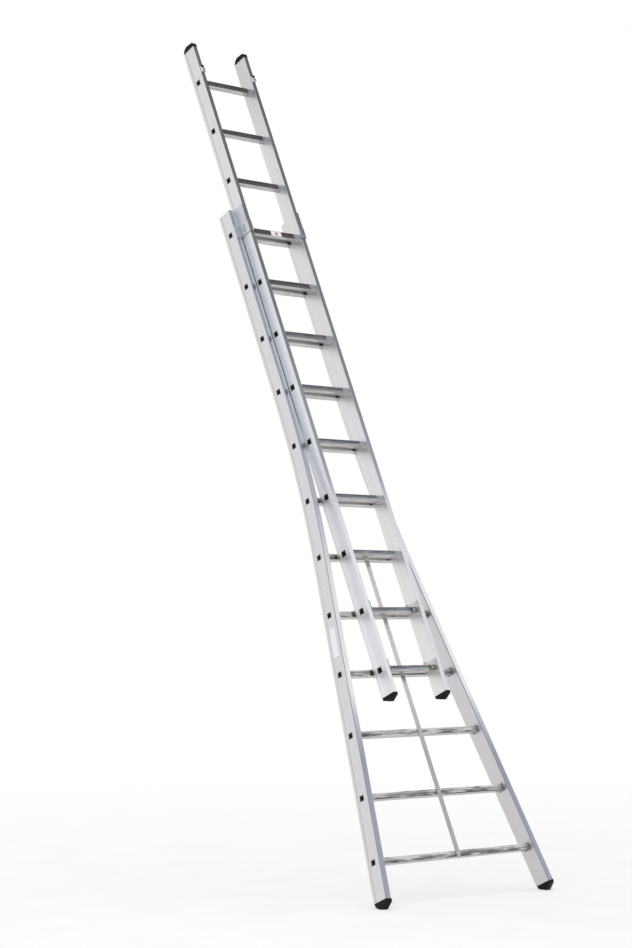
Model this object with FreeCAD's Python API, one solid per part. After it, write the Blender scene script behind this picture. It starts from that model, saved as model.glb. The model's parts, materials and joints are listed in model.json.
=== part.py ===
import FreeCAD, Part

import math
import os

V = FreeCAD.Vector

# Everything is built in the ladder's own axes, then leaned back once:
# x to the right along the rungs, y towards the back, z up along the stiles.
# z = 0 and y = 0 are the level of the lowest rung and the mid-plane of the fly.

# ---- driving dimensions, mm and degrees ----
rung_pitch = 280.0
rung_count = 12
lean_angle = 65.7
rest_extension = 3

fly_half_width = 172.5
fly_flange = 23.0
fly_depth = 80.0
fly_bottom = 722.0
fly_top = 4111.0
fly_rung_size = 28.0

base_half_width = 202.5
base_flange = 28.0
base_depth = 65.0
base_front = 24.0
base_fin = 17.0
base_fin_sheet = 2.6
base_inner_bevel = 3.0
base_set_back = 65.0
base_bottom = -155.0
base_top = 3207.0
base_rung_size = 27.0
base_rung_lift = 9.0

bend_start = 2249.0
bend_radius = 5770.0
bend_angle = 8.76

stile_wall = 1.8
stile_corner = 1.2
fly_groove = 22.0
groove_width = 4.0
groove_depth = 1.0
rung_wall = 1.7
rib_count = 4
rib_width = 1.5
rib_depth = 0.6
hole_clearance = 0.1
end_recess = 0.4
fly_collar_lip = 1.6
fly_collar_length = 2.2
base_collar_lip = 3.4
base_collar_length = 6.5
collar_gap = 0.05

plug_length = 14.0
plug_stand = -0.2
plug_gap = 0.1

cap_lip = 1.2
cap_stem = 26.0
wall_facet = 1.5
stem_gap = 0.3
floor_height = 200.0
feet_depth = 10.2
foot_groove = 2.5

guide_bottom = 3056.0
guide_top = 3116.0
cheek_top = 3205.0
guide_sheet = 3.0
guide_gap = 1.5
guide_pad = 1.1
stop_bottom = 3957.0
stop_height = 34.0

hook_sheet = 4.0
hook_rungs = (11, 12)
strip_width = 24.0
strip_middle = 6.0
strip_thickness = 3.0
strip_rungs = (7, 8, 9, 10, 11, 12)

os.makedirs("parts", exist_ok=True)

# ---- derived ----
bend_turn = math.radians(bend_angle)
bend_end = bend_start - bend_radius * math.sin(bend_turn)
bend_shift = bend_radius * (1.0 - math.cos(bend_turn))
fly_inner = fly_half_width - fly_flange
base_groove = base_front + base_depth


def fly_rung_z(number):
    return rung_pitch * (rung_count - number + rest_extension)


def base_rung_z(number):
    return rung_pitch * (rung_count - number) + base_rung_lift


def base_tilt(z):
    """Angle of the base stile from straight, at height z."""
    if z >= bend_start:
        return 0.0
    if z >= bend_end:
        return math.asin((bend_start - z) / bend_radius)
    return bend_turn


def base_outer(z):
    """Distance from the centre line to the base stile's outer face at height z."""
    if z >= bend_start:
        return base_half_width
    if z >= bend_end:
        drop = bend_start - z
        return base_half_width + bend_radius - math.sqrt(bend_radius ** 2 - drop ** 2)
    return base_half_width + bend_shift + (bend_end - z) * math.tan(bend_turn)


def fly_outer(z):
    return fly_half_width


def fly_tilt(z):
    return 0.0


# ---- small shape helpers ----
def box(x0, x1, y0, y1, z0, z1):
    return Part.makeBox(x1 - x0, y1 - y0, z1 - z0, V(x0, y0, z0))


def prism_along_x(points, x0, x1):
    """Closed outline of (y, z) points, swept from x0 to x1."""
    wire = Part.makePolygon([V(x0, y, z) for y, z in points] + [V(x0, *points[0])])
    return Part.Face(wire).extrude(V(x1 - x0, 0, 0))


def prism_along_y(points, y0, y1):
    """Closed outline of (x, z) points, swept from y0 to y1."""
    corners = [V(x, y0, z) for x, z in points]
    return Part.Face(Part.makePolygon(corners + corners[:1])).extrude(V(0, y1 - y0, 0))


def cylinder(radius, length, start, direction):
    return Part.makeCylinder(radius, length, start, direction)


def dome_head(radius, height, start, direction):
    """Low round head with an eased rim."""
    head = Part.makeCylinder(radius, height, start, direction)
    rim = [e for e in head.Edges if abs(e.CenterOfMass.sub(start).dot(direction) - height) < 0.01]
    return head.makeChamfer(height * 0.35, rim)


def round_upright_edges(solid, radius):
    upright = []
    for edge in solid.Edges:
        bounds = edge.BoundBox
        if bounds.ZLength > 1.0 and bounds.XLength < 0.01 and bounds.YLength < 0.01:
            upright.append(edge)
    return solid.makeFillet(radius, upright)


def mirrored(shape):
    return shape.mirror(V(0, 0, 0), V(1, 0, 0))


def lean(shape):
    """From the ladder's own axes to the leaning pose with its feet on the floor."""
    placed = shape.copy()
    placed.rotate(V(0, 0, 0), V(1, 0, 0), lean_angle - 90.0)
    placed.translate(V(0, feet_depth, floor_height))
    return placed


def save(name, shape):
    solids = shape.Solids
    whole = solids[0] if len(solids) == 1 else Part.makeCompound(solids)
    whole.exportStep("parts/" + name + ".step")


def save_pair(name, left):
    save(name + "_left", lean(left))
    save(name + "_right", lean(mirrored(left)))


# ---- stiles ----
def stile_section(outer_x, flange, front_y, depth, groove_y, z, fins=(), bevel=0.0):
    """Hollow left stile section, outer face at -outer_x, as a flat face at height z.

    fins lists how far each rear fin starts from the outer face.
    """
    rear_y = front_y + depth
    inner_x = flange - outer_x
    bar = round_upright_edges(box(-outer_x, inner_x, front_y, rear_y, z, z + 10), stile_corner)
    hollow = box(
        stile_wall - outer_x,
        inner_x - stile_wall,
        front_y + stile_wall,
        rear_y - stile_wall,
        z,
        z + 10,
    )
    hollow = round_upright_edges(hollow, stile_corner / 2)
    for start in fins:
        left_x = start - outer_x
        right_x = left_x + base_fin_sheet
        strip = box(left_x, right_x, rear_y - 5, rear_y + base_fin, z, z + 10)
        root = box(left_x, right_x, rear_y - 5, rear_y + 2, z, z + 10)
        bar = bar.fuse([round_upright_edges(strip, 1.0), root])
    if bevel:
        corner = [V(inner_x + 1, front_y - 1, z), V(inner_x + 1, front_y + bevel + 1, z)]
        corner += [V(inner_x - bevel - 1, front_y - 1, z), corner[0]]
        bar = bar.cut(Part.Face(Part.makePolygon(corner)).extrude(V(0, 0, 10)))
    half = groove_width / 2
    groove = box(-outer_x - 1, groove_depth - outer_x, groove_y - half, groove_y + half, z, z + 10)
    ring = bar.cut(hollow).cut(groove).removeSplitter()
    ends = [f for f in ring.Faces if f.BoundBox.ZLength < 0.01 and abs(f.BoundBox.ZMin - z) < 0.01]
    return ends[0]


def rung_holes(numbers, rung_z, size, centre_y, reach):
    half = size / 2 + hole_clearance
    holes = []
    for number in numbers:
        z = rung_z(number)
        holes.append(box(-reach, 0, centre_y - half, centre_y + half, z - half, z + half))
    return holes


all_rungs = range(1, rung_count + 1)

fly_section = stile_section(
    fly_half_width, fly_flange, -fly_depth / 2, fly_depth, fly_groove, fly_bottom
)
fly_stile = fly_section.extrude(V(0, 0, fly_top - fly_bottom))
fly_stile = fly_stile.cut(rung_holes(all_rungs, fly_rung_z, fly_rung_size, 0.0, 300))
save_pair("fly_stile", fly_stile)


def base_section(fins):
    return stile_section(
        base_half_width,
        base_flange,
        base_front,
        base_depth,
        base_groove,
        bend_start,
        fins=fins,
        bevel=base_inner_bevel,
    )


# The inner rear fin is only on the straight lower run.
upper_section = base_section((0.0,))
lower_section = base_section((0.0, base_flange - base_fin_sheet))
bend_centre = V(-base_half_width - bend_radius, 0, bend_start)
straight_top = upper_section.extrude(V(0, 0, base_top - bend_start))
bend = upper_section.revolve(bend_centre, V(0, 1, 0), bend_angle)
turned = lower_section.copy()
turned.rotate(bend_centre, V(0, 1, 0), bend_angle)
run = (bend_end - base_bottom) / math.cos(bend_turn)
flare = turned.extrude(V(-run * math.sin(bend_turn), 0, -run * math.cos(bend_turn)))
base_stile = straight_top.fuse([bend, flare])
base_stile = base_stile.cut(
    rung_holes(all_rungs, base_rung_z, base_rung_size, base_set_back, 800)
)
save_pair("base_stile", base_stile)


# ---- rungs ----
def rung_outline(size, centre_y, z):
    """Square outline with shallow grip grooves on all four sides, as (y, z) points."""
    half = size / 2
    step = size / (rib_count + 1)
    side = [(-half, -half)]
    for index in range(rib_count):
        middle = -half + step * (index + 1)
        side.append((middle - rib_width / 2, -half))
        side.append((middle - rib_width / 2, -half + rib_depth))
        side.append((middle + rib_width / 2, -half + rib_depth))
        side.append((middle + rib_width / 2, -half))
    points = []
    for turn in range(4):
        c, s = ((1, 0), (0, 1), (-1, 0), (0, -1))[turn]
        points += [(a * c - b * s, a * s + b * c) for a, b in side]
    return [(centre_y + a, z + b) for a, b in points]


def slanted_block(outer, z, half_z, y0, y1, offset):
    """Block between the two stiles whose ends follow their outer faces."""
    top = outer(z + half_z) + offset
    low = outer(z - half_z) + offset
    outline = [(-top, z + half_z), (top, z + half_z), (low, z - half_z), (-low, z - half_z)]
    return prism_along_y(outline, y0, y1)


def collar(size, centre_y, z, outer, tilt, flange, lip, length):
    """Swaged collar where the rung meets the left stile's inner face."""
    half = size / 2 + lip
    ring = box(collar_gap, length, -half, half, -half, half)
    rim = [e for e in ring.Edges if e.BoundBox.XMin > length - 0.01]
    ring = ring.makeChamfer(lip * 0.7, rim)
    ring.rotate(V(0, 0, 0), V(0, 1, 0), math.degrees(tilt(z)))
    inner = outer(z) - flange / math.cos(tilt(z))
    ring.translate(V(-inner, centre_y, z))
    return ring


def make_rung(size, centre_y, z, outer, tilt, flange, lip, length):
    half = size / 2
    reach = outer(z - half) + 20
    bar = prism_along_x(rung_outline(size, centre_y, z), -reach, reach)
    ends = slanted_block(outer, z, half + 1, centre_y - 40, centre_y + 40, -end_recess)
    left = collar(size, centre_y, z, outer, tilt, flange, lip, length)
    bore = half - rung_wall
    hollow = box(
        -reach, reach, centre_y - bore, centre_y + bore, z - bore, z + bore
    )
    return bar.common(ends).fuse([left, mirrored(left)]).cut(hollow)


def make_plug(size, centre_y, z, outer):
    """Left end plug, fitted in the rung's bore and just below the stile's face."""
    half = size / 2 - rung_wall - plug_gap
    top = outer(z + half) + plug_stand
    low = outer(z - half) + plug_stand
    root = outer(z) - plug_length
    outline = [(-top, z + half), (-root, z + half), (-root, z - half), (-low, z - half)]
    return prism_along_y(outline, centre_y - half, centre_y + half)


fly_plugs = []
base_plugs = []
fly_fit = (fly_outer, fly_tilt, fly_flange, fly_collar_lip, fly_collar_length)
base_fit = (base_outer, base_tilt, base_flange, base_collar_lip, base_collar_length)
for number in all_rungs:
    z = fly_rung_z(number)
    save("fly_rung_%02d" % number, lean(make_rung(fly_rung_size, 0.0, z, *fly_fit)))
    fly_plugs.append(make_plug(fly_rung_size, 0.0, z, fly_outer))
    z = base_rung_z(number)
    rung = make_rung(base_rung_size, base_set_back, z, *base_fit)
    save("base_rung_%02d" % number, lean(rung))
    base_plugs.append(make_plug(base_rung_size, base_set_back, z, base_outer))
save_pair("fly_plugs", Part.makeCompound(fly_plugs))
save_pair("base_plugs", Part.makeCompound(base_plugs))


# ---- end caps and feet ----
def end_cap(flange, front_y, depth, outline, stem_end):
    """Left end cap in its stile's own axes: outer face at x = 0, stile end at z = 0."""
    shell = prism_along_x(outline, -cap_lip, flange + cap_lip)
    edges = [e for e in shell.Edges if abs(e.CenterOfMass.z) > 0.01]
    shell = shell.makeChamfer(1.2, edges)
    inset = stile_wall + stem_gap
    low, high = sorted((0.0, stem_end))
    stem = box(inset, flange - inset, front_y + inset, front_y + depth - inset, low, high)
    return shell.fuse(stem)


rim = fly_depth / 2 + cap_lip
low_outline = [(36, 0), (36, -8), (33, -13), (-3, -29.5), (-rim, -11), (-rim, 0)]
top_outline = [(-rim, 0), (-rim, 12), (-36, 22), (8, 27), (25, 19), (36, 5), (36, 0)]

low_cap = end_cap(fly_flange, -fly_depth / 2, fly_depth, low_outline, cap_stem)
low_cap.translate(V(-fly_half_width, 0, fly_bottom))
save_pair("fly_cap_bottom", low_cap)

top_cap = end_cap(fly_flange, -fly_depth / 2, fly_depth, top_outline, -cap_stem)
top_cap.translate(V(-fly_half_width, 0, fly_top))
top_cap = lean(top_cap)
wall_plane = top_cap.BoundBox.YMax - wall_facet
top_cap = top_cap.cut(box(-300, 0, wall_plane, wall_plane + 50, 3000, 5000))
save("fly_cap_top_left", top_cap)
save("fly_cap_top_right", mirrored(top_cap))

rim = base_front - cap_lip
foot_outline = [(102, 0), (102, -8), (95, -17), (86, -25.5), (84, -45), (74, -45), (27, -15)]
foot_outline += [(rim, -8), (rim, 0)]
foot = end_cap(base_flange, base_front, base_depth, foot_outline, cap_stem)
foot.rotate(V(0, 0, 0), V(0, 1, 0), bend_angle)
foot.translate(V(-base_outer(base_bottom), 0, base_bottom))
foot = lean(foot)
below = box(-900, 900, -400, 400, -200, 0)
treads = [box(-900, 900, y, y + foot_groove, -1, 2.0) for y in (-7.5, 5.0)]
foot = foot.cut(below).cut(treads)
save("base_foot_left", foot)
save("base_foot_right", mirrored(foot))

inset = stile_wall + stem_gap
top_plug = box(
    inset - base_half_width,
    base_flange - inset - base_half_width,
    base_front + inset + 2,
    base_front + base_depth - inset,
    base_top - 20,
    base_top - 2,
)
save_pair("base_top_plug", top_plug)

# ---- guides at the top of the base, round the fly's stiles ----
outside = -fly_half_width - guide_gap
front = -fly_depth / 2 - guide_gap
tongue = -152.0
cheek = box(outside - guide_sheet, outside, front, base_front, guide_bottom, cheek_top)
slot = box(outside - 10, outside + 10, -14, -10, guide_bottom + 6, guide_top - 8)
wrap = box(outside - guide_sheet, tongue, front - guide_sheet, front, guide_bottom, guide_top)
flap = box(
    -base_half_width + 1, outside, base_front - guide_sheet, base_front, guide_bottom, guide_top
)
bracket = cheek.cut(slot).fuse([wrap, flap])
bolt_x = -base_half_width + 10
bolt_levels = (guide_bottom + 15, guide_top - 15)
for z in bolt_levels:
    bracket = bracket.cut(cylinder(3.1, 20, V(bolt_x, base_front - 10, z), V(0, 1, 0)))
save_pair("guide_bracket", bracket.removeSplitter())

pad_side = box(outside, outside + guide_pad, front, 18, guide_bottom + 2, guide_top - 2)
pad_front = box(outside, tongue - 2, front, front + guide_pad, guide_bottom + 2, guide_top - 2)
save_pair("guide_pad", pad_side.fuse(pad_front).removeSplitter())

bolts = []
for z in bolt_levels:
    face = base_front - guide_sheet
    head = dome_head(5.5, 3.4, V(bolt_x, face, z), V(0, -1, 0))
    shank = cylinder(3.0, guide_sheet, V(bolt_x, face, z), V(0, 1, 0))
    bolts.append(head.fuse(shank))
clamp_x = tongue - 6
bolts.append(dome_head(4.5, 3.0, V(clamp_x, front - guide_sheet, guide_bottom + 8), V(0, -1, 0)))
save_pair("guide_bolts", Part.makeCompound(bolts))

# ---- stops near the top of the fly, which land on the guides ----
stop_x = -(fly_half_width + fly_inner) / 2
stop_front = -fly_depth / 2
stop_top = stop_bottom + stop_height
stop_outline = [
    (stop_front, stop_bottom),
    (stop_front - 13, stop_bottom),
    (stop_front - 13, stop_bottom + 14),
    (stop_front - 9, stop_top - 8),
    (stop_front - 4, stop_top),
    (stop_front, stop_top),
]
stop = prism_along_x(stop_outline, stop_x - 9, stop_x + 9)
pocket = box(
    stop_x - 6.5, stop_x + 6.5, stop_front - 20, stop_front - 2.5, stop_bottom + 3, stop_bottom + 20
)
save_pair("stop_bracket", stop.cut(pocket))

tip_outline = [
    (stop_front - 9.4, stop_top - 8),
    (stop_front - 14, stop_top - 9),
    (stop_front - 14, stop_top + 1),
    (stop_front - 4.4, stop_top + 4),
    (stop_front - 4.1, stop_top),
]
save_pair("stop_tip", prism_along_x(tip_outline, stop_x - 5, stop_x + 5))

stop_screw = dome_head(3.6, 2.2, V(stop_x, stop_front - 2.5, stop_bottom + 11.5), V(0, -1, 0))
save("stop_screws", lean(Part.makeCompound([stop_screw, mirrored(stop_screw)])))

# ---- hooks that hang the fly on the base rungs ----
collar_reach = fly_rung_size / 2 + fly_collar_lip + 0.4
mouth = base_rung_size / 2 + 0.8
mouth_top = base_rung_lift + mouth
hook_outline = [
    (-40, -14),
    (-collar_reach, -14),
    (-collar_reach, collar_reach),
    (collar_reach, collar_reach),
    (collar_reach, -10),
    (base_set_back - mouth, -10),
    (base_set_back - mouth, mouth_top),
    (base_set_back + mouth, mouth_top),
    (base_set_back + mouth, 6),
    (base_set_back + mouth + 7, 8),
    (base_set_back + mouth + 9, 14),
    (base_set_back + mouth + 9, 30),
    (base_set_back + mouth + 4, 36),
    (44, 36),
    (40, 46),
    (31, 46),
    (27, 36),
    (-40, 36),
]
plate_x = -fly_inner + collar_gap
rivets = []
for number, level in zip(hook_rungs, ("upper", "lower")):
    z = fly_rung_z(number)
    outline = [(y, z + rise) for y, rise in hook_outline]
    plate = prism_along_x(outline, plate_x, plate_x + hook_sheet)
    tab_y = -collar_reach - 0.2
    tab = box(plate_x, plate_x + 27, tab_y - hook_sheet, tab_y, z - 14, z + 12)
    save_pair("hook_" + level, plate.fuse(tab).removeSplitter())
    for y in (-30, 30):
        rivets.append(
            dome_head(4.0, 2.0, V(plate_x + hook_sheet, y, z + 26), V(1, 0, 0))
        )
    rivets.append(dome_head(5.0, 2.6, V(plate_x + 17, tab_y - hook_sheet, z), V(0, -1, 0)))
rivets += [mirrored(rivet) for rivet in rivets]
save("hook_rivets", lean(Part.makeCompound(rivets)))

# ---- strip that ties the wide rungs together ----
strip_back = base_set_back - base_rung_size / 2 - 0.05
strip_ends = [base_rung_z(strip_rungs[-1]) - 13, base_rung_z(strip_rungs[0]) + 13]
strip = box(
    strip_middle - strip_width / 2,
    strip_middle + strip_width / 2,
    strip_back - strip_thickness,
    strip_back,
    strip_ends[0],
    strip_ends[1],
)
save("tie_strip", lean(strip))
strip_face = strip_back - strip_thickness
strip_rivets = [
    dome_head(4.2, 2.0, V(strip_middle, strip_face, base_rung_z(n)), V(0, -1, 0))
    for n in strip_rungs
]
save("tie_strip_rivets", lean(Part.makeCompound(strip_rivets)))

# ---- blank labels ----
rung_face = -fly_rung_size / 2
label_z = fly_rung_z(4)
rung_label = box(-16, 48, rung_face - 0.3, rung_face - 0.02, label_z - 12, label_z + 12)
save("rung_label", lean(rung_label))

stile_label = box(-0.3, -0.02, -19, 16, 0, 135)
stile_label.rotate(V(0, 0, 0), V(0, 1, 0), bend_angle)
stile_label.translate(V(-base_outer(932), base_set_back, 932))
save("stile_label", lean(stile_label))
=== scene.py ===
import bpy
import json
import math
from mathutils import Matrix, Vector

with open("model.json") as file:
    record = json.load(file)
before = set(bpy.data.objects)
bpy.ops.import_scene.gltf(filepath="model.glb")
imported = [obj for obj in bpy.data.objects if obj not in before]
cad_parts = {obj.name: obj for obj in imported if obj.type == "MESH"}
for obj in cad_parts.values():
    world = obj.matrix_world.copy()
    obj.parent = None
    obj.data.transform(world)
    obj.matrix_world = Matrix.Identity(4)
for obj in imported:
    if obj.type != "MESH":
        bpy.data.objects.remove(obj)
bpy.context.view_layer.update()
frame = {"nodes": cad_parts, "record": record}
scene = bpy.context.scene

LEAN = math.radians(65.7)
RIGHT = Vector((1, 0, 0))
UP_STILE = Vector((0, math.cos(LEAN), math.sin(LEAN)))
FRONT = Vector((0, -math.sin(LEAN), math.cos(LEAN)))
LOWEST_RUNG = Vector((0, 0.0102, 0.2))
PITCH = 0.28
RUNG_HALF = 0.014
FLY_SIDE = 0.177


def ladder_point(right, back, up):
    """World point from ladder axes: right, towards the back, up the stile (metres)."""
    return LOWEST_RUNG + RIGHT * right - FRONT * back + UP_STILE * up


def aimed(direction):
    """Rotation that points a lamp or camera along a direction, top side up."""
    return direction.to_track_quat("-Z", "Y").to_euler()


# ---- materials ----
class Maker:
    """One principled material and short calls that add nodes to it."""

    def __init__(self, name, color, roughness, metallic=0.0):
        self.mat = bpy.data.materials.new(name)
        self.mat.use_nodes = True
        self.tree = self.mat.node_tree
        self.bsdf = self.tree.nodes["Principled BSDF"]
        self.bsdf.inputs["Base Color"].default_value = (*color, 1)
        self.bsdf.inputs["Roughness"].default_value = roughness
        self.bsdf.inputs["Metallic"].default_value = metallic
        self.coord = self.node("ShaderNodeTexCoord").outputs["Object"]

    def node(self, kind, **values):
        made = self.tree.nodes.new(kind)
        for key, value in values.items():
            setattr(made, key, value)
        return made

    def link(self, source, target):
        self.tree.links.new(source, target)

    def along(self, scale):
        """Coordinates turned so z runs up the stiles and y through their depth."""
        turned = self.node("ShaderNodeMapping", vector_type="POINT")
        turned.inputs["Rotation"].default_value = (math.pi / 2 - LEAN, 0, 0)
        self.link(self.coord, turned.inputs["Vector"])
        scaled = self.node("ShaderNodeMapping", vector_type="POINT")
        scaled.inputs["Scale"].default_value = scale
        self.link(turned.outputs["Vector"], scaled.inputs["Vector"])
        return scaled.outputs["Vector"]

    def dot(self, vector, direction):
        made = self.node("ShaderNodeVectorMath", operation="DOT_PRODUCT")
        self.link(vector, made.inputs[0])
        made.inputs[1].default_value = direction
        return made.outputs["Value"]

    def across(self):
        """Distance to the right of the ladder's centre line, in metres."""
        return self.dot(self.coord, RIGHT)

    def height(self):
        """Height up the stile, in metres above the lowest rung."""
        return self.math("SUBTRACT", self.dot(self.coord, UP_STILE), LOWEST_RUNG.dot(UP_STILE))

    def depth(self):
        """Distance behind the middle of the fly, in metres."""
        return self.math("SUBTRACT", LOWEST_RUNG.dot(FRONT), self.dot(self.coord, FRONT))

    def climb(self, low, high):
        """Height up the stile, from 0 at low to 1 at high."""
        return self.spread(self.height(), low, high, 0, 1)

    def noise(self, vector, scale, detail=4, rough=0.55):
        made = self.node("ShaderNodeTexNoise")
        made.inputs["Scale"].default_value = scale
        made.inputs["Detail"].default_value = detail
        made.inputs["Roughness"].default_value = rough
        self.link(vector, made.inputs["Vector"])
        return made.outputs["Fac"]

    def spread(self, value, low, high, out_low, out_high):
        made = self.node("ShaderNodeMapRange")
        limits = {"From Min": low, "From Max": high, "To Min": out_low, "To Max": out_high}
        for key, number in limits.items():
            made.inputs[key].default_value = number
        self.link(value, made.inputs["Value"])
        return made.outputs["Result"]

    def math(self, operation, a, b=0):
        made = self.node("ShaderNodeMath", operation=operation)
        for socket, value in zip(made.inputs, (a, b)):
            if isinstance(value, (int, float)):
                socket.default_value = value
            else:
                self.link(value, socket)
        return made.outputs["Value"]

    def mix(self, factor, a, b):
        made = self.node("ShaderNodeMix", data_type="RGBA", blend_type="MIX")
        sockets = (made.inputs[0], made.inputs[6], made.inputs[7])
        for socket, value in zip(sockets, (factor, a, b)):
            if isinstance(value, (int, float)):
                socket.default_value = value
            elif isinstance(value, tuple):
                socket.default_value = (*value, 1)
            else:
                self.link(value, socket)
        return made.outputs[2]

    def facing(self, direction, low=0.5, high=0.9):
        """How far the surface faces a fixed direction, from 0 to 1."""
        normal = self.node("ShaderNodeNewGeometry").outputs["Normal"]
        return self.spread(self.dot(normal, direction), low, high, 0, 1)

    def ramp(self, value, stops):
        """Tones set at positions from 0 to 1, blended between."""
        made = self.node("ShaderNodeValToRGB")
        elements = made.color_ramp.elements
        while len(elements) < len(stops):
            elements.new(0.5)
        for element, (position, tone) in zip(elements, stops):
            element.position = position
            element.color = (*tone, 1)
        self.link(value, made.inputs["Fac"])
        return made.outputs["Color"]

    def height_ramp(self, stops):
        """Tones set at heights up the stile, in metres above the lowest rung."""
        low, high = stops[0][0], stops[-1][0]
        shares = [((height - low) / (high - low), tone) for height, tone in stops]
        return self.ramp(self.climb(low, high), shares)

    def across_rung(self, rise, stops):
        """Tones set from the lower edge of each rung at 0 to its upper edge at 1."""
        pitches = self.math("DIVIDE", self.math("SUBTRACT", self.height(), rise), PITCH)
        turns = self.math("ADD", pitches, 0.5)
        offset = self.math("SUBTRACT", self.math("FRACT", turns), 0.5)
        edge = RUNG_HALF / PITCH
        return self.ramp(self.spread(offset, -edge, edge, 0, 1), stops)

    def sideways(self):
        """Distance from the ladder's centre line, in metres."""
        return self.math("ABSOLUTE", self.across())

    def bump(self, height, strength, distance):
        made = self.node("ShaderNodeBump")
        made.inputs["Strength"].default_value = strength
        made.inputs["Distance"].default_value = distance
        self.link(height, made.inputs["Height"])
        self.link(made.outputs["Normal"], self.bsdf.inputs["Normal"])

    def color(self, value):
        self.link(value, self.bsdf.inputs["Base Color"])

    def rough(self, value):
        self.link(value, self.bsdf.inputs["Roughness"])


def extrusion(name, front, left, right, edge, highlight_and_shade_lines, inner_reflection=None):
    """Drawn aluminium with painted reflections: each face's tones are set by height, as reflections
    would set them.

    lines holds a depth, a half width, a tone and a height limit for each painted line on the left
    side: a white painted highlight on the fly, a dark painted shade line on the base.
    inner sets the painted reflection tone of the left front flange beside the other section; edge
    sets the painted shade tone of bevels turned to the front and left.
    """
    m = Maker(name, (0.72, 0.73, 0.74), 0.32, 1.0)
    grain = m.noise(m.along((900, 900, 3)), 1.0, 5, 0.65)
    # Long stripes of painted reflection along the stiles: bluish light on the sides, dark blue-grey
    # on the front.
    reflection_streak = m.noise(m.along((110, 110, 0.35)), 1.0, 2, 0.5)
    cloud = m.noise(m.along((9, 9, 1.6)), 1.0, 4, 0.6)
    scuff = m.noise(m.along((60, 60, 14)), 1.0, 6, 0.7)
    on_right = m.spread(m.across(), -0.02, 0.02, 0, 1)
    # The sides and the front take painted reflection tones that change with height.
    side = m.mix(on_right, m.height_ramp(left), m.height_ramp(right))
    side = m.mix(m.spread(reflection_streak, 0.5, 0.66, 0, 0.4), side, (0.58, 0.65, 0.76))
    face = m.mix(m.spread(reflection_streak, 0.45, 0.7, 0, 0.3), m.height_ramp(front), (0.3, 0.34, 0.42))
    # Each listed line is painted light along the left side: a white painted highlight at the fly's
    # groove, a dark painted shade line on the base.
    for depth, half_width, painted_line_tone, top in highlight_and_shade_lines:
        away = m.math("ABSOLUTE", m.math("SUBTRACT", m.depth(), depth))
        on_painted_line = m.spread(away, half_width - 0.0005, half_width + 0.0005, 1, 0)
        on_painted_line = m.math("MULTIPLY", on_painted_line, m.climb(top, top - 0.1))
        on_painted_line = m.math("MULTIPLY", on_painted_line, m.spread(on_right, 0.4, 0.6, 1, 0))
        side = m.mix(on_painted_line, side, painted_line_tone)
    # A pale blue painted reflection on the left base front flange beside the fly.
    if inner_reflection:
        beside = m.math("SUBTRACT", m.spread(m.across(), -0.198, -0.182, 0, 1), on_right)
        face = m.mix(beside, face, inner_reflection)
    # Painted light: faces turned to the right are painted near white.
    side = m.mix(m.facing(RIGHT), side, (0.88, 0.89, 0.91))
    tone = m.mix(m.facing(FRONT), side, face)
    # Painted shade on bevels turned to the front and left.
    tone = m.mix(m.facing((FRONT - RIGHT).normalized(), 0.9, 0.97), tone, edge)
    # Painted shade: faces turned to the back are painted darker blue-grey.
    tone = m.mix(m.facing(-FRONT), tone, (0.42, 0.45, 0.5))
    tone = m.mix(m.spread(cloud, 0.35, 0.75, 0, 0.1), tone, (0.95, 0.95, 0.95))
    tone = m.mix(m.spread(grain, 0.35, 0.65, 0, 0.1), tone, (0.3, 0.31, 0.33))
    m.color(m.mix(m.spread(scuff, 0.62, 0.75, 0, 0.15), tone, (0.4, 0.4, 0.41)))
    m.rough(m.math("ADD", m.spread(grain, 0.3, 0.7, 0.24, 0.4), m.spread(cloud, 0.3, 0.7, 0, 0.07)))
    m.bump(grain, 0.1, 0.0004)
    return m.mat


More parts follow.
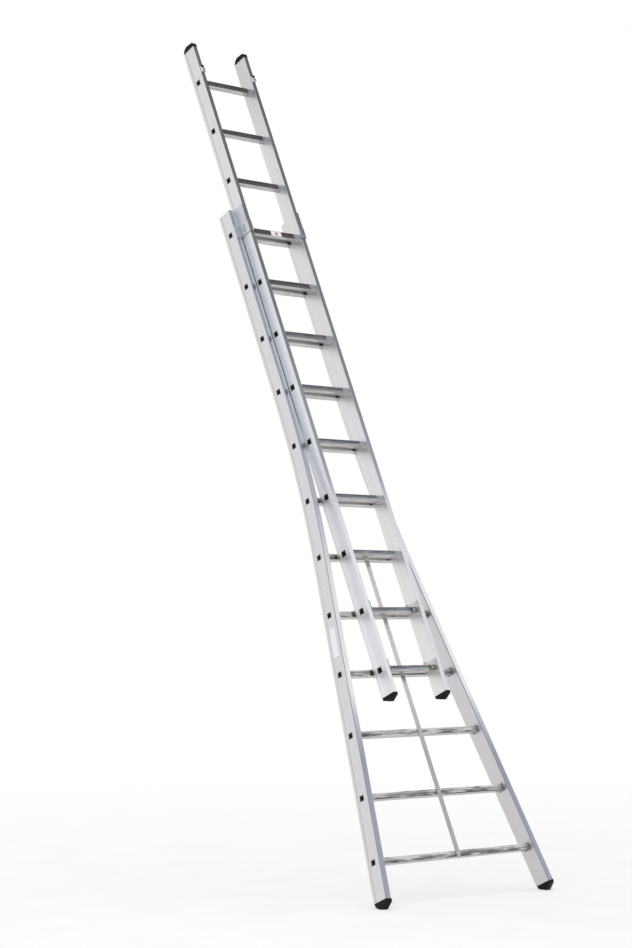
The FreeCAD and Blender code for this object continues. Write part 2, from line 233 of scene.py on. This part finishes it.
def ribbed(name, rise, high_face, low_face, blend, sheen_and_shade_strength, lit_underside, end, rear_shade=None):
    """Ribbed drawn rung: its front carries painted bands of reflection and shade, and the bands
    change with height.

    rear paints shade on the back of the underside where another rung stands behind it.
    """
    m = Maker(name, (0.5, 0.52, 0.55), 0.26, 1.0)
    grain = m.noise(m.along((4, 1000, 1000)), 1.0, 4, 0.6)
    cloud = m.noise(m.along((14, 60, 60)), 1.0, 4, 0.6)
    sheen_and_shade_noise = m.noise(m.along((9, 170, 110)), 1.0, 3, 0.6)
    # Painted bands of reflection and shade across each rung's front: the high bands above the blend
    # heights, the low bands below them and where a base rung shows left of the fly's stile.
    behind_fly = m.spread(m.across(), -0.164, -0.156, 0, 1)
    high_share = m.math("MULTIPLY", m.climb(*blend), behind_fly)
    face = m.mix(high_share, m.across_rung(rise, low_face), m.across_rung(rise, high_face))
    low_share = m.climb(blend[1], blend[0])
    # Painted sheen and painted shade stripes on the lower rungs.
    sheen = m.math("MULTIPLY", m.spread(sheen_and_shade_noise, 0.5, 0.6, 0, sheen_and_shade_strength), low_share)
    shade = m.math("MULTIPLY", m.spread(sheen_and_shade_noise, 0.48, 0.38, 0, sheen_and_shade_strength), low_share)
    face = m.mix(sheen, face, (0.78, 0.77, 0.76))
    face = m.mix(shade, face, (0.08, 0.08, 0.085))
    tone = m.mix(m.facing(FRONT), (0.6, 0.59, 0.57), face)
    # The underside is painted a pale warm tone as light from below, with darker painted shade in
    # long stripes.
    shadow = m.mix(m.spread(sheen_and_shade_noise, 0.5, 0.66, 0, 0.7), lit_underside, (0.3, 0.28, 0.25))
    if rear_shade:
        # Painted shade at the back of the underside, below about 3.2 m, where another rung stands
        # behind.
        rear_shade_mask = m.math("MULTIPLY", m.spread(m.depth(), 0.005, 0.007, 0, 0.85), m.climb(3.3, 3.2))
        shadow = m.mix(rear_shade_mask, shadow, rear_shade)
    tone = m.mix(m.facing(-UP_STILE), tone, shadow)
    tone = m.mix(m.spread(cloud, 0.45, 0.7, 0, 0.25), tone, (0.24, 0.24, 0.24))
    tone = m.mix(m.spread(grain, 0.4, 0.65, 0, 0.22), tone, (0.12, 0.12, 0.13))
    # A flat painted tone on the collar at the rung's end, beyond a slanted line, for the collar's
    # light and shade: dark on the base rungs, blue-grey on the fly rungs.
    slope, start, top, end_tone = end
    reach = m.math("ADD", m.across(), m.math("MULTIPLY", m.height(), slope))
    at_end = m.spread(reach, start - 0.001, start + 0.001, 0, 0.8)
    m.color(m.mix(m.math("MULTIPLY", at_end, m.climb(top + 0.2, top)), tone, end_tone))
    m.rough(m.spread(grain, 0.3, 0.7, 0.18, 0.34))
    m.bump(grain, 0.15, 0.0004)
    return m.mat


def plastic(name, color, roughness, gloss):
    """Moulded plastic or rubber with a fine grain and paler worn patches."""
    m = Maker(name, color, roughness)
    m.bsdf.inputs["Specular IOR Level"].default_value = gloss
    fine = m.noise(m.coord, 900, 3, 0.6)
    wear = m.noise(m.coord, 45, 5, 0.65)
    lighter = tuple(min(1, c * 2.5 + 0.01) for c in color)
    m.color(m.mix(m.spread(wear, 0.5, 0.75, 0, 0.3), color, lighter))
    m.rough(m.spread(wear, 0.3, 0.7, roughness - 0.1, roughness + 0.12))
    m.bump(fine, 0.25, 0.0004)
    return m.mat


def plated(name, light, dark, front=None, low=None):
    """Plated or cut metal; front sets a painted shade tone where it faces the climber, low its tone
    near the feet.
    """
    m = Maker(name, light, 0.35, 1.0)
    cell = m.node("ShaderNodeTexVoronoi")
    cell.inputs["Scale"].default_value = 240
    m.link(m.coord, cell.inputs["Vector"])
    patch = m.noise(m.coord, 60, 4, 0.6)
    spangle = m.spread(cell.outputs["Distance"], 0.0, 0.8, 0, 1)
    tone = m.mix(spangle, light, dark)
    tone = m.mix(m.spread(patch, 0.45, 0.75, 0, 0.5), tone, dark)
    # Painted shade on faces turned to the front, inside the fly's sides.
    if front:
        near = m.spread(m.sideways(), FLY_SIDE - 0.0005, FLY_SIDE + 0.0005, 0.9, 0)
        tone = m.mix(m.math("MULTIPLY", m.facing(FRONT), near), tone, front)
    if low:
        tone = m.mix(m.climb(0.75, 0.5), tone, low)
    m.color(tone)
    m.rough(m.spread(patch, 0.3, 0.7, 0.25, 0.5))
    m.bump(patch, 0.1, 0.0003)
    return m.mat


def film(name, paper, worn, centre, radius, ink):
    """Blank printed film with one plain round spot."""
    m = Maker(name, paper, 0.4)
    apart = m.node("ShaderNodeVectorMath", operation="DISTANCE")
    m.link(m.coord, apart.inputs[0])
    apart.inputs[1].default_value = centre
    inside = m.spread(apart.outputs["Value"], radius * 0.9, radius * 1.1, 1, 0)
    dust = m.noise(m.coord, 120, 4, 0.6)
    m.color(m.mix(inside, m.mix(m.spread(dust, 0.4, 0.8, 0, 0.6), paper, worn), ink))
    m.rough(m.spread(dust, 0.3, 0.7, 0.3, 0.5))
    return m.mat


def studio_paper():
    """Pale studio paper that turns to plain white away from the ladder."""
    m = Maker("floor_paper", (0.9, 0.9, 0.9), 0.9)
    away = m.node("ShaderNodeVectorMath", operation="LENGTH")
    m.link(m.coord, away.inputs[0])
    fade = m.spread(away.outputs["Value"], 1.0, 7.0, 0.25, 1.0)
    mottle = m.noise(m.coord, 3, 3)
    m.color(m.mix(m.spread(mottle, 0.3, 0.7, 0, 1), (0.88, 0.88, 0.88), (0.92, 0.92, 0.92)))
    glow = m.node("ShaderNodeEmission")
    glow.inputs["Strength"].default_value = 1.0
    join = m.node("ShaderNodeMixShader")
    m.link(fade, join.inputs["Fac"])
    m.link(m.bsdf.outputs["BSDF"], join.inputs[1])
    m.link(glow.outputs["Emission"], join.inputs[2])
    m.link(join.outputs["Shader"], m.tree.nodes["Material Output"].inputs["Surface"])
    return m.mat


# The fly's height tones are painted reflections: the front goes from pale to nearly black upwards,
# and the sides grow a little darker upwards.
fly_metal = extrusion(
    "fly_extrusion",
    front=(
        (1.4, (0.78, 0.8, 0.84)),
        (1.6, (0.7, 0.72, 0.77)),
        (1.76, (0.36, 0.38, 0.43)),
        (1.84, (0.28, 0.3, 0.35)),
        (2.2, (0.19, 0.21, 0.25)),
        (2.75, (0.13, 0.145, 0.175)),
        (3.3, (0.085, 0.09, 0.1)),
        (3.8, (0.055, 0.057, 0.065)),
    ),
    left=(
        (0.8, (0.86, 0.86, 0.88)),
        (1.9, (0.82, 0.82, 0.84)),
        (2.9, (0.76, 0.76, 0.77)),
        (3.9, (0.72, 0.71, 0.7)),
    ),
    right=(
        (0.8, (0.8, 0.79, 0.79)),
        (3.0, (0.74, 0.735, 0.735)),
        (3.6, (0.71, 0.7, 0.7)),
        (3.9, (0.62, 0.61, 0.61)),
    ),
    edge=(0.7, 0.71, 0.74),
    # A white painted highlight along the fly's groove, below about 2 m.
    highlight_and_shade_lines=((0.022, 0.004, (1, 1, 1), 2.1),),
)
# The base's height tones are painted reflections: a dark blue-grey front with a pale band from
# about 0.75 to 1.2 m, and nearly even sides.
base_metal = extrusion(
    "base_extrusion",
    front=(
        (0.0, (0.31, 0.34, 0.42)),
        (0.45, (0.3, 0.33, 0.41)),
        (0.62, (0.52, 0.54, 0.6)),
        (0.75, (0.84, 0.84, 0.86)),
        (1.2, (0.84, 0.84, 0.86)),
        (1.6, (0.58, 0.6, 0.67)),
        (2.2, (0.4, 0.43, 0.5)),
        (3.2, (0.36, 0.39, 0.46)),
    ),
    left=((0.0, (0.68, 0.67, 0.68)), (3.2, (0.7, 0.7, 0.71))),
    right=(
        (0.0, (0.64, 0.61, 0.62)),
        (1.5, (0.62, 0.6, 0.605)),
        (2.0, (0.72, 0.712, 0.716)),
        (3.2, (0.7, 0.695, 0.698)),
    ),
    edge=(0.24, 0.26, 0.31),
    # A dark painted shade line along the base's left side, below about 3.3 m.
    highlight_and_shade_lines=((0.024, 0.005, (0.3, 0.31, 0.35), 3.4),),
    # A pale blue painted reflection beside the fly.
    inner_reflection=(0.76, 0.81, 0.88),
)
# Painted reflection and shade bands across the rung fronts, from the lower edge at 0 to the upper
# edge at 1: nearly black on the fly's high rungs, and a painted shadow from the fly rung along the
# top of the base's high rungs.
high_fly = ((0, (0.1, 0.1, 0.1)), (0.2, (0.07, 0.07, 0.07)), (1, (0.05, 0.05, 0.052)))
low_fly = (
    (0.0, (0.14, 0.14, 0.14)),
    (0.12, (0.55, 0.55, 0.56)),
    (0.3, (0.45, 0.47, 0.51)),
    (0.45, (0.2, 0.22, 0.26)),
    (0.8, (0.13, 0.145, 0.18)),
    (1.0, (0.045, 0.05, 0.06)),
)
base_high = ((0.0, (0.5, 0.49, 0.48)), (0.3, (0.3, 0.29, 0.28)), (0.6, (0.1, 0.1, 0.1)))
base_low = (
    (0.0, (0.2, 0.2, 0.2)),
    (0.15, (0.1, 0.1, 0.1)),
    (0.35, (0.24, 0.235, 0.235)),
    (0.6, (0.38, 0.37, 0.37)),
    (0.85, (0.54, 0.53, 0.52)),
    (1.0, (0.68, 0.66, 0.64)),
)
fly_rung = ribbed(
    "fly_rung_metal",
    rise=0.0,
    high_face=high_fly,
    low_face=low_fly,
    blend=(1.8, 2.9),
    sheen_and_shade_strength=0.25,
    lit_underside=(0.74, 0.72, 0.7),
    end=(0, 0.129, 5, (0.5, 0.52, 0.57)),
    rear_shade=(0.1, 0.095, 0.09),
)
base_rung = ribbed(
    "base_rung_metal",
    rise=0.009,
    high_face=base_high,
    low_face=base_low,
    blend=(1.2, 1.3),
    sheen_and_shade_strength=0.8,
    lit_underside=(0.8, 0.78, 0.76),
    end=(0.1541, 0.4461, 1.5, (0.1, 0.1, 0.11)),
)

finishes = {
    "plug": plastic("rung_plug", (0.004, 0.004, 0.005), 0.45, 0.08),
    "cap": plastic("end_cap", (0.005, 0.005, 0.006), 0.42, 0.12),
    "liner": plastic("nylon_liner", (0.02, 0.02, 0.022), 0.45, 0.3),
    "rubber": plastic("stop_rubber", (0.012, 0.012, 0.012), 0.6, 0.2),
    # The guide and the zinc hooks get a dark painted shade on their faces turned to the front.
    "guide": plated(
        "guide_metal", (0.68, 0.69, 0.72), (0.54, 0.56, 0.61), front=(0.12, 0.13, 0.16)
    ),
    "zinc": plated("zinc_plate", (0.76, 0.76, 0.71), (0.55, 0.56, 0.52), front=(0.2, 0.21, 0.2)),
    "stop": plated("stop_zinc", (0.85, 0.87, 0.93), (0.6, 0.62, 0.68)),
    "fastener": plated("fastener_zinc", (0.82, 0.82, 0.83), (0.5, 0.51, 0.52)),
    "strip": plated("strip_metal", (0.74, 0.71, 0.68), (0.55, 0.53, 0.51), low=(0.4, 0.41, 0.43)),
}
special = {
    "rung_label": film(
        "rung_label_film",
        paper=(0.82, 0.81, 0.8),
        worn=(0.66, 0.66, 0.66),
        centre=ladder_point(0.018, -0.0143, 3.08),
        radius=0.0085,
        ink=(0.42, 0.06, 0.07),
    ),
    "stile_label": film(
        "stile_label_film",
        paper=(0.78, 0.79, 0.8),
        worn=(0.62, 0.63, 0.65),
        centre=ladder_point(-0.45, 0.063, 1.04),
        radius=0.007,
        ink=(0.3, 0.31, 0.34),
    ),
}

slots = {part["node"]: part["material_slot"] for part in frame["record"]["subparts"]}
for name, node in frame["nodes"].items():
    if slots[name] == "extrusion":
        finish = fly_metal if name.startswith("fly") else base_metal
    elif slots[name] == "rung":
        finish = fly_rung if name.startswith("fly") else base_rung
    elif name.startswith("stop_bracket"):
        finish = finishes["stop"]
    else:
        finish = special.get(name) or finishes[slots[name]]
    node.data.materials.clear()
    node.data.materials.append(finish)

# ---- floor ----
bpy.ops.mesh.primitive_circle_add(vertices=96, radius=60, fill_type="TRIFAN", location=(0, 0, 0))
floor = bpy.context.object
floor.name = "floor"
floor.data.materials.append(studio_paper())

# ---- light: a plain white studio ----
world = bpy.data.worlds.new("studio")
scene.world = world
world.use_nodes = True
back = world.node_tree.nodes["Background"]
back.inputs["Color"].default_value = (1, 1, 1, 1)
back.inputs["Strength"].default_value = 1.0

key = bpy.data.lights.new("key", "AREA")
key.energy = 90
key.size = 5
lamp = bpy.data.objects.new("key", key)
lamp.location = (-6, -3, 6)
lamp.visible_glossy = False
lamp.rotation_euler = aimed(Vector((0, 0.8, 1.8)) - lamp.location)
scene.collection.objects.link(lamp)

# ---- camera ----
camera = bpy.data.cameras.new("camera")
camera.lens = 85.91
camera.sensor_width = 36
camera.shift_x = -0.00366
camera.shift_y = -0.00446
viewer = bpy.data.objects.new("camera", camera)
turn = math.radians(41.9615)
tip = math.radians(3.642)
aim = Vector((math.sin(turn) * math.cos(tip), math.cos(turn) * math.cos(tip), math.sin(tip)))
viewer.location = (-6.9615, -6.8028, 1.2101)
viewer.rotation_euler = aimed(aim)
scene.collection.objects.link(viewer)
scene.camera = viewer
scene.view_settings.view_transform = "Standard"
